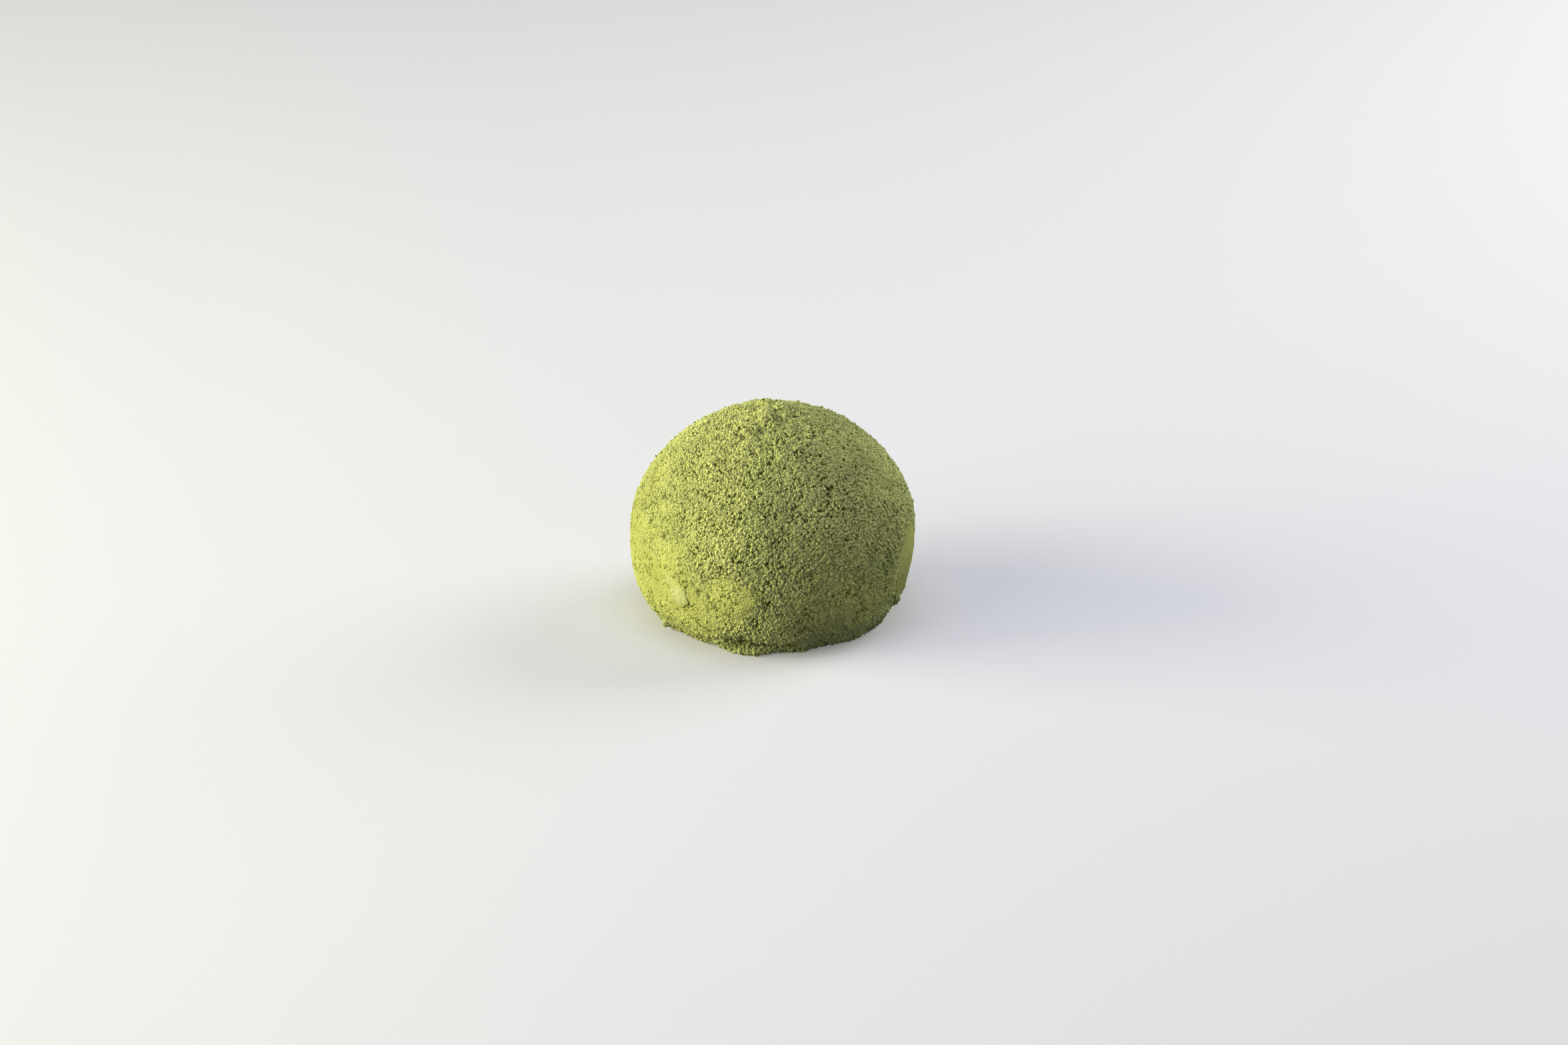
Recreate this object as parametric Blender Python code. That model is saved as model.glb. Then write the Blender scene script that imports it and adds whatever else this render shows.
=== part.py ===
"""Mochi rice cake: one soft ball of rice dough that has sagged onto its foot, under a coat of powder.

Metres, +Z up, the foot flat on z = 0. The front faces -Y and the pressed side faces +X.
Azimuths are measured at the axis, from the front towards +X.
"""

import math
from typing import NamedTuple

import bmesh
import bpy
from mathutils import Matrix, Vector

MM = 0.001

# The ball: two superellipse halves that meet at the widest level.
WIDEST_RADIUS = 27.9 * MM
WIDEST_LEVEL = 16.8 * MM
CROWN_HEIGHT = 24.6 * MM
CROWN_POWER = 1.87
FLANK_DEPTH = 21.8 * MM
FLANK_POWER = 2.79

# The dough leans a little over its foot, towards the front and left.
LEAN_AZIMUTH = -42.0
LEAN_AT_FOOT = 0.7 * MM

# Broad waves round the flank, left by the hands that rolled the ball.
WAVES = (
    # count round the ball, azimuth of a crest, height of the wave
    (2, 65.0, 0.16 * MM),
    (3, 20.0, 0.14 * MM),
    (5, -12.0, 0.08 * MM),
)

# The flat, bare side where the ball stood against its neighbour.
FACET_AZIMUTH = 88.0
FACET_TILT = -14.0
FACET_DEPTH = 0.55 * MM
FACET_GIVE = 0.82

SEGMENTS = 96
RINGS = 52

POWDER_COLOUR = (0.46, 0.49, 0.115, 1.0)
POWDER_ROUGHNESS = 0.95


class Touch(NamedTuple):
    """A round place where the surface swells (positive) or is pressed in (negative)."""

    azimuth: float
    level: float
    reach: float
    swell: float


TOUCHES = (
    # the peak of the crown and the two soft shoulders beside it
    Touch(-60.0, 41.2 * MM, 7.5 * MM, 0.40 * MM),
    Touch(150.0, 39.5 * MM, 8.0 * MM, -0.20 * MM),
    Touch(40.0, 37.0 * MM, 8.0 * MM, -0.25 * MM),
    # the palm-pressed places low on the left and front left
    Touch(-55.0, 9.0 * MM, 9.0 * MM, -0.35 * MM),
    Touch(-22.0, 9.5 * MM, 6.5 * MM, -0.30 * MM),
    # the raised flake between them
    Touch(-44.0, 9.5 * MM, 3.4 * MM, 0.40 * MM),
    # the crease low on the right
    Touch(33.0, 6.5 * MM, 4.0 * MM, -0.35 * MM),
    # shallow finger marks round the back
    Touch(165.0, 12.0 * MM, 9.0 * MM, -0.35 * MM),
    Touch(-125.0, 20.0 * MM, 9.5 * MM, -0.30 * MM),
    # where the dough spreads at the foot, and where it is tucked in at the front right
    Touch(-12.0, 0.0 * MM, 8.0 * MM, 0.55 * MM),
    Touch(26.0, 0.0 * MM, 9.0 * MM, -1.00 * MM),
    Touch(-62.0, 0.0 * MM, 4.5 * MM, 0.45 * MM),
    Touch(62.0, 0.0 * MM, 5.0 * MM, 0.40 * MM),
    Touch(-160.0, 0.0 * MM, 6.0 * MM, 0.40 * MM),
)


def clear_scene():
    """Removes whatever the scene starts with."""
    for obj in list(bpy.data.objects):
        bpy.data.objects.remove(obj, do_unlink=True)


def heading(azimuth, tilt=0.0):
    """The unit vector at an azimuth from the front towards +X, tilted up by an angle."""
    turn = math.radians(azimuth)
    rise = math.radians(tilt)
    flat = math.cos(rise)
    return Vector((math.sin(turn) * flat, -math.cos(turn) * flat, math.sin(rise)))


def reach_along(direction):
    """How far the ball's surface lies from its centre in a direction."""
    across = math.hypot(direction.x, direction.y)
    if direction.z >= 0.0:
        depth = CROWN_HEIGHT
        power = CROWN_POWER
    else:
        depth = FLANK_DEPTH
        power = FLANK_POWER
    share = (across / WIDEST_RADIUS) ** power + (abs(direction.z) / depth) ** power
    return share ** (-1.0 / power)


def ball_point(direction):
    """The plain ball's surface in a direction, with the centre at the widest level."""
    centre = Vector((0.0, 0.0, WIDEST_LEVEL))
    return centre + direction * reach_along(direction)


def surface_at(azimuth, level):
    """The plain ball's surface at an azimuth and a height."""
    low = -math.pi / 2.0
    high = math.pi / 2.0
    for _ in range(40):
        middle = (low + high) / 2.0
        point = ball_point(heading(azimuth, math.degrees(middle)))
        if point.z < level:
            low = middle
        else:
            high = middle
    return ball_point(heading(azimuth, math.degrees(low)))


def swell_at(point, marks):
    """How far the touches move the surface out at a point."""
    total = 0.0
    for centre, touch in marks:
        ratio = (point - centre).length / touch.reach
        if ratio < 1.0:
            total += touch.swell * (0.5 + 0.5 * math.cos(math.pi * ratio))
    return total


def waves_at(direction, point):
    """How far the broad waves move the surface out: most at the flank, none at the top."""
    azimuth = math.atan2(direction.x, -direction.y)
    weight = math.hypot(point.x, point.y) / WIDEST_RADIUS
    total = 0.0
    for count, crest, height in WAVES:
        total += height * math.cos(count * (azimuth - math.radians(crest)))
    return total * weight * weight


def leant(point):
    """The point moved by the ball's lean, which grows from the widest level down to the foot."""
    depth = max(0.0, WIDEST_LEVEL - point.z) / WIDEST_LEVEL
    return point + heading(LEAN_AZIMUTH) * LEAN_AT_FOOT * depth


def pressed(point):
    """The point after the neighbour has pressed the side flat."""
    normal = heading(FACET_AZIMUTH, FACET_TILT)
    centre = Vector((0.0, 0.0, WIDEST_LEVEL))
    wall = reach_along(normal) - FACET_DEPTH
    beyond = (point - centre).dot(normal) - wall
    if beyond <= 0.0:
        return point
    return point - normal * beyond * FACET_GIVE


def shape_ball(mesh):
    """Moves every vertex of a unit sphere to the surface of the sagging ball."""
    marks = [(surface_at(touch.azimuth, touch.level), touch) for touch in TOUCHES]
    for vertex in mesh.verts:
        direction = vertex.co.normalized()
        point = ball_point(direction)
        out = swell_at(point, marks) + waves_at(direction, point)
        vertex.co = pressed(leant(point + direction * out))


def cut_foot(mesh):
    """Cuts the ball off level at z = 0 and closes the cut with one flat face."""
    everything = mesh.verts[:] + mesh.edges[:] + mesh.faces[:]
    cut = bmesh.ops.bisect_plane(
        mesh,
        geom=everything,
        plane_co=(0.0, 0.0, 0.0),
        plane_no=(0.0, 0.0, 1.0),
        clear_inner=True,
    )
    rim = [item for item in cut["geom_cut"] if isinstance(item, bmesh.types.BMEdge)]
    bmesh.ops.edgeloop_fill(mesh, edges=rim)
    bmesh.ops.recalc_face_normals(mesh, faces=mesh.faces[:])


def centre_box(mesh):
    """Moves the body so that its box stands centred on the origin, with the foot at z = 0."""
    across = [vertex.co.x for vertex in mesh.verts]
    along = [vertex.co.y for vertex in mesh.verts]
    bottom = min(vertex.co.z for vertex in mesh.verts)
    middle_x = (min(across) + max(across)) / 2.0
    middle_y = (min(along) + max(along)) / 2.0
    shift = Matrix.Translation((-middle_x, -middle_y, -bottom))
    bmesh.ops.transform(mesh, matrix=shift, verts=mesh.verts[:])


def powder_material():
    """The coat's colour: dry, dull yellow-green powder."""
    material = bpy.data.materials.new("powder_coat")
    material.use_nodes = True
    shader = material.node_tree.nodes["Principled BSDF"]
    shader.inputs["Base Color"].default_value = POWDER_COLOUR
    shader.inputs["Roughness"].default_value = POWDER_ROUGHNESS
    shader.inputs["Metallic"].default_value = 0.0
    return material


def build_mochi(collection):
    """The whole rice cake as one closed body."""
    mesh = bmesh.new()
    bmesh.ops.create_uvsphere(mesh, u_segments=SEGMENTS, v_segments=RINGS, radius=1.0)
    shape_ball(mesh)
    cut_foot(mesh)
    centre_box(mesh)
    for face in mesh.faces:
        face.smooth = abs(face.normal.z + 1.0) > 1e-6
    data = bpy.data.meshes.new("mochi")
    mesh.to_mesh(data)
    mesh.free()
    data.materials.append(powder_material())
    mochi = bpy.data.objects.new("mochi", data)
    collection.objects.link(mochi)
    return mochi


def main():
    clear_scene()
    collection = bpy.data.collections.new("mochi_rice_cake")
    bpy.context.scene.collection.children.link(collection)
    build_mochi(collection)


main()
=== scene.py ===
"""The looks of a mochi rice cake: a ball of soft dough under a deep coat of green tea powder.

The powder is real relief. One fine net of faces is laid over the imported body, the pressed places,
flake, cracks and creases are worked into it, and a Geometry Nodes tree raises the clumps and grains.
A second tree lays loose grains on the skin, and crumbs round the crown and the foot.
Metres throughout, +Z up, the front towards -Y, azimuths from the front towards +X.
"""

from __future__ import annotations

import logging
import math
from collections.abc import Callable, Sequence
from dataclasses import asdict, dataclass, field
from enum import Enum

import bmesh
import bpy
import numpy as np
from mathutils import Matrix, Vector
from mathutils.bvhtree import BVHTree

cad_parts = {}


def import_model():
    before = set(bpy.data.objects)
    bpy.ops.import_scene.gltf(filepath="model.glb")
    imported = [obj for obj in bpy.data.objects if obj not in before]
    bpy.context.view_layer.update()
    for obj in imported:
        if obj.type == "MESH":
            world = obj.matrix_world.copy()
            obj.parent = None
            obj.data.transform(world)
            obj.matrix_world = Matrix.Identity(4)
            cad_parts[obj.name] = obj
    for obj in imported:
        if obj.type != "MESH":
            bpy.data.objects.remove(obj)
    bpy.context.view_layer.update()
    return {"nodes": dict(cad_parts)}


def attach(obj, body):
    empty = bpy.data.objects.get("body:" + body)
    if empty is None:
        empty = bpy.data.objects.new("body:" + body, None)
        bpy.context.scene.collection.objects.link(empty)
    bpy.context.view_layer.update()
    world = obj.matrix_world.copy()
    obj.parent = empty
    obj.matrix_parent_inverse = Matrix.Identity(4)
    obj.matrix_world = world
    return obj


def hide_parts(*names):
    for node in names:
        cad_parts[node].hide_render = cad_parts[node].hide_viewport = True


MM = 0.001
PER_METRE = 1000.0
NODE = "mochi"
BODY = "root"
MAP = "OFBake"
WHITE = (1.0, 1.0, 1.0)
FULL_TURN = (6.283, 6.283, 6.283)
MIDDLE_TONE = 0.46
CROWDING = 3.0e6
LOG = logging.getLogger("mochi")
Colour = tuple[float, ...]
Pair = tuple[float, float]
Faces = list[tuple[int, ...]]
Layers = dict[str, np.ndarray]


def smooth_step(low: float, high: float, value: np.ndarray) -> np.ndarray:
    """The share of each number, rising smoothly from 0 at low to 1 at high."""
    t = np.clip((value - low) / (high - low), 0.0, 1.0)
    return t * t * (3.0 - 2.0 * t)


def put(name: str, data: bpy.types.ID) -> bpy.types.Object:
    """Puts a new object in the scene, at the origin.

    Args:
        name: The object's name.
        data: Its mesh, light or camera.

    Returns:
        The object.
    """
    made = bpy.data.objects.new(name, data)
    bpy.context.scene.collection.objects.link(made)
    return made


def new_mesh(name: str, points: np.ndarray, faces: Faces) -> bpy.types.Mesh:
    """Makes a mesh.

    Args:
        name: The mesh's name.
        points: Its points, in metres.
        faces: Its faces, as numbers of points.

    Returns:
        The mesh.
    """
    mesh = bpy.data.meshes.new(name)
    mesh.from_pydata(points, [], faces)
    mesh.update()
    return mesh


def store(mesh: bpy.types.Mesh, layers: Layers) -> None:
    """Gives each point of a mesh its numbers.

    Args:
        mesh: The mesh.
        layers: The numbers, under the names that the trees read.
    """
    for name, values in layers.items():
        layer = mesh.attributes.new(name, "FLOAT", "POINT")
        layer.data.foreach_set("value", values.astype(np.float32))


def titled(sizes: object) -> dict[str, object]:
    """A dataclass's fields under the names of a tree's inputs."""
    return {name.replace("_", " ").title(): value for name, value in asdict(sizes).items()}


def sum_node(operation: str, turned: bool = False) -> Callable[[Wire, object], Wire]:
    """Makes a method of a wire that adds a node for one kind of sum.

    Args:
        operation: The kind.
        turned: Whether the wire comes last.

    Returns:
        The method.
    """

    def add(wire: Wire, other: object) -> Wire:
        """Adds the node."""
        return wire.draw.total(operation, *((other, wire) if turned else (wire, other)))

    return add


class Wire:
    """What a node puts out. Plain sums on it add nodes; a vector times a number scales it."""

    def __init__(self, draw: Sketch, socket: bpy.types.NodeSocket) -> None:
        """Keeps the sketch that it is part of, and the socket."""
        self.draw = draw
        self.socket = socket

    __add__ = sum_node("ADD")
    __sub__ = sum_node("SUBTRACT")
    __rsub__ = sum_node("SUBTRACT", turned=True)
    __mul__ = sum_node("MULTIPLY")
    __truediv__ = sum_node("DIVIDE")
    __rtruediv__ = sum_node("DIVIDE", turned=True)

    def part(self, number: int) -> Wire:
        """One of the three numbers of a vector or colour."""
        return self.draw.node("ShaderNodeSeparateXYZ", {0: self})[number]

    def ramp(self, low: float, high: float, start: float = 0.0, end: float = 1.0) -> Wire:
        """A smooth step: start where this number is low or less, end where it is high or more."""
        inputs = {"Value": self, "From Min": low, "From Max": high, "To Min": start, "To Max": end}
        return self.draw.node("ShaderNodeMapRange", inputs, interpolation_type="SMOOTHSTEP")["Result"]

    def over(self, size: object) -> Wire:
        """This place, with a size as its unit."""
        return self * self.draw.math("DIVIDE", 1.0, size)

    def noise(self, size: object, detail: float = 2.0, rough: float = 0.5) -> Step:
        """Noise over this place, its features about size across, in the place's units."""
        inputs = {"Vector": self.over(size), "Scale": 1.0, "Detail": detail, "Roughness": rough}
        return self.draw.node("ShaderNodeTexNoise", inputs, noise_dimensions="3D")

    def cells(self, size: object) -> Step:
        """Round cells over this place, about size apart, in the place's units."""
        inputs = {"Vector": self.over(size), "Scale": 1.0, "Randomness": 1.0}
        return self.draw.node("ShaderNodeTexVoronoi", inputs, voronoi_dimensions="3D", feature="F1")

    def stir(self, size: object, reach: object, detail: float = 2.0, rough: float = 0.6) -> Wire:
        """A random offset for this place, by up to half of reach each way."""
        return (self.noise(size, detail, rough)["Color"] - (0.5, 0.5, 0.5)) * reach

    def keep(self, name: str, value: object, kind: str = "FLOAT", domain: str = "POINT") -> Wire:
        """This geometry with a value stored under a name."""
        inputs = {"Geometry": self, "Name": name, "Value": value}
        return self.draw.node("GeometryNodeStoreNamedAttribute", inputs, data_type=kind, domain=domain)[0]


class Step:
    """A node of a tree. What it puts out is taken from it by name or number."""

    def __init__(self, draw: Sketch, node: bpy.types.Node) -> None:
        """Keeps the sketch that it is part of, and the node."""
        self.draw = draw
        self.node = node

    def __getitem__(self, key: str | int) -> Wire:
        """One of the node's outputs."""
        return Wire(self.draw, self.node.outputs[key])


class Sketch:
    """Lays out a node tree in few words."""

    def __init__(self, tree: bpy.types.NodeTree) -> None:
        """Keeps the tree that the nodes go into."""
        self.tree = tree

    def feed(self, socket: bpy.types.NodeSocket, value: object) -> None:
        """Links a socket to a wire, or sets its value.

        Args:
            socket: The input to feed.
            value: A wire, or a plain value; None leaves the input alone.
        """
        if isinstance(value, Wire):
            self.tree.links.new(value.socket, socket)
        elif value is not None:
            socket.default_value = value

    def node(self, kind: str, inputs: dict | None = None, **settings: object) -> Step:
        """Adds a node.

        Args:
            kind: The node's type.
            inputs: What to feed, by the inputs' names or numbers.
            settings: The node's own settings.

        Returns:
            The node.
        """
        made = self.tree.nodes.new(kind)
        for name, value in settings.items():
            setattr(made, name, value)
        for name, value in (inputs or {}).items():
            self.feed(made.inputs[name], value)
        return Step(self, made)

    def math(self, operation: str, a: object, b: object = None, clamp: bool = False) -> Wire:
        """One sum of plain numbers."""
        return self.node("ShaderNodeMath", {0: a, 1: b}, operation=operation, use_clamp=clamp)[0]

    def scaled(self, vector: object, share: object) -> Wire:
        """A vector or colour times a number."""
        return self.node("ShaderNodeVectorMath", {0: vector, "Scale": share}, operation="SCALE")[0]

    def total(self, operation: str, a: object, b: object) -> Wire:
        """Adds a node for one sum.

        Args:
            operation: What to do with them.
            a: A number or vector.
            b: Another, or the number that scales the vector.

        Returns:
            The number or vector that comes out.
        """
        wide = [self._is_vector(side) for side in (a, b)]
        if all(wide):
            return self.node("ShaderNodeVectorMath", {0: a, 1: b}, operation=operation)[0]
        return self.scaled(a, b) if wide[0] else self.math(operation, a, b)

    @staticmethod
    def _is_vector(side: object) -> bool:
        """Whether this is a vector or a colour."""
        wired = isinstance(side, Wire) and side.socket.type in ("VECTOR", "RGBA")
        return wired or isinstance(side, tuple)

    def blend(self, share: object, low: object, high: object) -> Wire:
        """A number between low and high."""
        return self.node("ShaderNodeMix", {0: share, 2: low, 3: high}, data_type="FLOAT")[0]

    def tint(self, share: object, low: object, high: object) -> Wire:
        """A colour between low and high."""
        return self.node("ShaderNodeMix", {0: share, 6: low, 7: high}, data_type="RGBA")[2]

    def layer(self, name: object, kind: str = "FLOAT") -> Wire:
        """A named attribute, in a Geometry Nodes tree."""
        inputs = {"Name": name}
        return self.node("GeometryNodeInputNamedAttribute", inputs, data_type=kind)["Attribute"]

    def painted(self, name: str) -> Wire:
        """A named attribute, in a material."""
        return self.node("ShaderNodeAttribute", attribute_name=name)["Fac"]


@dataclass(frozen=True)
class PowderFinish:
    """Dry, very fine green tea powder, matt: its crests are painted paler as a highlight, its pits
    painted deeper and greener as shade.
    """

    name: str = "tea_powder"
    crest: Colour = (0.690, 0.712, 0.262, 1.0)
    body: Colour = (0.670, 0.700, 0.209, 1.0)
    pit: Colour = (0.105, 0.116, 0.005, 1.0)
    rubbed: Colour = (0.610, 0.632, 0.152, 1.0)
    bare: Colour = (0.500, 0.520, 0.185, 1.0)
    hole: Colour = (0.130, 0.152, 0.008, 1.0)
    body_rise: Pair = (0.02, 0.40)
    crest_rise: Pair = (0.42, 0.95)
    pressed_loss: Colour = (0.430, 0.430, 0.605)
    fleck_mm: float = 5.0
    fleck: float = 0.08
    gap_rise: Pair = (-0.04, 0.42)
    gap_shade: float = 0.45
    gap_hue: Colour = (1.0, 0.97, 1.22)
    grain_mm: float = 0.30
    grain_stir_mm: Pair = (0.45, 0.30)
    dust_mm: float = 0.20
    dust_share: float = 0.9
    bump_mm: float = 0.155
    pinhole_gap_mm: float = 0.50
    pinhole_mm: float = 0.21
    pinhole_stir_mm: Pair = (0.35, 0.35)
    pinhole_crowd_mm: float = 3.0
    pinhole_shade: float = 0.92
    roughness: float = 0.96
    diffuse_roughness: float = 0.6
    specular: float = 0.15

    def material(self) -> bpy.types.Material:
        """Builds the material.

        Returns:
            The material, which reads the tones that the coat's mesh carries.
        """
        material = bpy.data.materials.new(self.name)
        material.use_nodes = True
        draw = Sketch(material.node_tree)
        at = draw.node("ShaderNodeTexCoord")["Object"] * PER_METRE
        relief, calm, pale, deep = map(draw.painted, ("relief", "calm", "pale", "deep"))
        grain = self._grain(at)
        fluffy = calm.ramp(0.0, 0.95, 1.0, 0.40) * calm.ramp(0.9, 1.0, 1.0, 0.5)
        hole = self._pinholes(at) * calm.ramp(0.2, 0.5) * calm.ramp(0.94, 1.0, 1.0, 0.05)
        # Painted shade and highlight: low relief takes the dark pit colour, high relief the paler crest
        # colour.
        colour = draw.tint(relief.ramp(*self.body_rise), self.pit, self.body)
        colour = draw.tint(relief.ramp(*self.crest_rise), colour, self.crest)
        # Pressed places lose colour: pressed powder is deeper, and the loss also holds down the strongly
        # lit side, a painted shade.
        colour = colour * (WHITE - draw.scaled(self.pressed_loss, calm))
        patch = at.noise(self.fleck_mm, 3.0, 0.6)["Fac"]
        colour = colour * patch.ramp(0.3, 0.7, 1.0 - self.fleck, 1.0 + self.fleck)
        # Paler powder where it is rubbed and where light is painted on; the bare skin where the coat has
        # flaked.
        colour = draw.tint(draw.math("MAXIMUM", pale, 0.0), colour, self.rubbed)
        colour = draw.tint(draw.math("MAXIMUM", pale * -1.0, 0.0), colour, self.bare)
        # Painted shade: the gaps between the smallest grains are darker, and lose more blue than red and
        # green.
        gap = grain.ramp(*self.gap_rise, self.gap_shade, 0.0) * fluffy
        colour = colour * (WHITE - draw.scaled(self.gap_hue, gap))
        # Painted shade: the pinholes take a dark colour.
        colour = draw.tint(hole * self.pinhole_shade, colour, self.hole)
        bumps = {"Height": grain * fluffy - hole, "Strength": 1.0, "Distance": self.bump_mm * MM}
        inputs = material.node_tree.nodes["Principled BSDF"].inputs
        # Painted shade darkens broad places, and painted light brightens others.
        draw.feed(inputs["Base Color"], colour * (1.0 - deep))
        draw.feed(inputs["Normal"], draw.node("ShaderNodeBump", bumps)["Normal"])
        draw.feed(inputs["Roughness"], self.roughness)
        draw.feed(inputs["Diffuse Roughness"], self.diffuse_roughness)
        draw.feed(inputs["Specular IOR Level"], self.specular)
        return material

    def _grain(self, at: Wire) -> Wire:
        """Draws the smallest grains.

        Args:
            at: The place, in millimetres.

        Returns:
            About 0 in the gaps and 1 on the tops.
        """
        cell = (at + at.stir(*self.grain_stir_mm)).cells(self.grain_mm)
        dome = cell["Distance"].ramp(0.18, 0.72, 1.0, 0.0)
        dome = dome * at.draw.blend(cell["Color"].part(0), 0.6, 1.0)
        return dome + (at.noise(self.dust_mm, 2.0, 0.65)["Fac"] - 0.5) * self.dust_share

    def _pinholes(self, at: Wire) -> Wire:
        """Draws tiny holes of uneven size, in crowds.

        Args:
            at: The place, in millimetres.

        Returns:
            1 inside a hole and 0 outside.
        """
        cell = (at + at.stir(*self.pinhole_stir_mm)).cells(self.pinhole_gap_mm)
        crowd = at.noise(self.pinhole_crowd_mm, 2.0, 0.6)["Fac"]
        radius = crowd.ramp(0.38, 0.62, 0.35, 1.35) * self.pinhole_mm
        radius = radius * at.draw.blend(cell["Color"].part(0), 0.2, 1.5)
        return (cell["Distance"] * self.pinhole_gap_mm / radius).ramp(0.55, 1.0, 1.0, 0.0)


@dataclass
class Ball:
    """The points of the fine net on the bare body, with what the features need to know of them."""

    points: np.ndarray
    least_girth: float = 6.0
    widest: float = 26.5
    azimuth: np.ndarray = field(init=False)
    level: np.ndarray = field(init=False)
    girth: np.ndarray = field(init=False)

    def __post_init__(self) -> None:
        """Works out azimuth, level and distance from the axis."""
        self.azimuth = np.degrees(np.arctan2(self.points[:, 0], -self.points[:, 1]))
        self.level = self.points[:, 2] / MM
        self.girth = np.hypot(self.points[:, 0], self.points[:, 1]) / MM

    def offset_mm(self, azimuth: float, level: float) -> tuple[np.ndarray, np.ndarray]:
        """How far across and how far up each point lies from a place, along the skin."""
        turn = (self.azimuth - azimuth + 180.0) % 360.0 - 180.0
        return np.radians(turn) * np.maximum(self.girth, self.least_girth), self.level - level

    def wobble(self, seed: float, size: float = 1.6) -> np.ndarray:
        """Makes a smooth, irregular wave over the ball, for ragged outlines.

        Args:
            seed: Another seed gives another wave.
            size: About how long the waves are, in millimetres.

        Returns:
            Numbers from -1 to 1, one for each point.
        """
        p = self.points / (size * MM)
        total = np.zeros(len(p))
        for k in range(1, 5):
            phase = seed * 0.37 * k
            turn = np.array([math.sin(phase + k), math.cos(phase * 1.7), math.sin(phase * 0.6 + 2.0 * k)])
            total += np.sin(p @ turn * (0.8 + 0.45 * k) + phase * 5.0)
        return total / 4.0


@dataclass(frozen=True)
class Spot:
    """A soft-edged oval on the ball: its middle, its half sizes along and up the skin, its strength."""

    azimuth: float
    level: float
    half_width: float
    half_height: float
    strength: float
    soft: float = 0.45
    ragged: float = 0.18

    def share(self, ball: Ball) -> np.ndarray:
        """Works out how much of the spot's strength each point has.

        Args:
            ball: The points.

        Returns:
            Numbers from 0 to the strength.
        """
        across, up = ball.offset_mm(self.azimuth, self.level)
        reach = np.hypot(across / self.half_width, up / self.half_height)
        reach = reach + self.ragged * ball.wobble(self.azimuth + 7.0 * self.level)
        return self.strength * (1.0 - smooth_step(1.0 - self.soft, 1.0 + 0.2 * self.soft, reach))


@dataclass(frozen=True)
class Crack:
    """A thin split in the coat: its width and depth, and its line of (azimuth, level) points."""

    width: float
    depth: float
    line: tuple[tuple[float, float], ...]

    def share(self, ball: Ball) -> np.ndarray:
        """Works out how deep the split is.

        Args:
            ball: The points.

        Returns:
            The depth at each point, in millimetres.
        """
        nearest = np.full(len(ball.points), 1e9)
        turn, level = np.array(self.line).mean(axis=0)
        across, up = ball.offset_mm(turn, level)
        corners = [(math.radians(a - turn) * ball.widest, z - level) for a, z in self.line]
        for (x0, y0), (x1, y1) in zip(corners[:-1], corners[1:]):
            run_x, run_y = x1 - x0, y1 - y0
            length = max(run_x * run_x + run_y * run_y, 1e-9)
            t = np.clip(((across - x0) * run_x + (up - y0) * run_y) / length, 0.0, 1.0)
            nearest = np.minimum(nearest, np.hypot(across - x0 - t * run_x, up - y0 - t * run_y))
        edge = self.width * (0.75 + 0.6 * ball.wobble(turn * 3.0 + level, 0.5))
        return self.depth * (1.0 - smooth_step(0.3, 1.0, nearest / np.maximum(edge, 0.03)))


@dataclass(frozen=True)
class Knob:
    """A clump that stands out near the crown: its place from above, how wide it is and how tall."""

    x: float
    y: float
    radius: float
    height: float
    lowest: float = 20.0

    def share(self, ball: Ball) -> np.ndarray:
        """Works out how far the clump lifts each point.

        Args:
            ball: The points.

        Returns:
            The lift at each point, in millimetres.
        """
        reach = np.hypot(ball.points[:, 0] / MM - self.x, ball.points[:, 1] / MM - self.y)
        reach = reach / self.radius + 0.22 * ball.wobble(self.x + 3.0 * self.y, 1.1)
        dome = np.sqrt(np.clip(1.0 - np.clip(reach, 0.0, 1.0) ** 2, 0.0, 1.0))
        return self.height * (ball.level > self.lowest) * dome


Spots = tuple[Spot, ...]


def spots(soft: float, ragged: float, *rows: tuple[float, ...]) -> Spots:
    """Spots that share the softness and the raggedness of their edges."""
    return tuple(Spot(*row, soft, ragged) for row in rows)


def added(places: Sequence[Spot | Crack | Knob], ball: Ball) -> np.ndarray:
    """The sum of what several places give each point."""
    return sum((place.share(ball) for place in places), np.zeros(len(ball.points)))


def strongest(places: Sequence[Spot], ball: Ball) -> np.ndarray:
    """The most that any of several places gives each point."""
    return np.maximum.reduce([place.share(ball) for place in places])


def spared(places: Sequence[Spot], ball: Ball) -> np.ndarray:
    """How little several places touch each point, from 1, not at all, to 0."""
    return np.prod([1.0 - place.share(ball) for place in places], axis=0)


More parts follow.
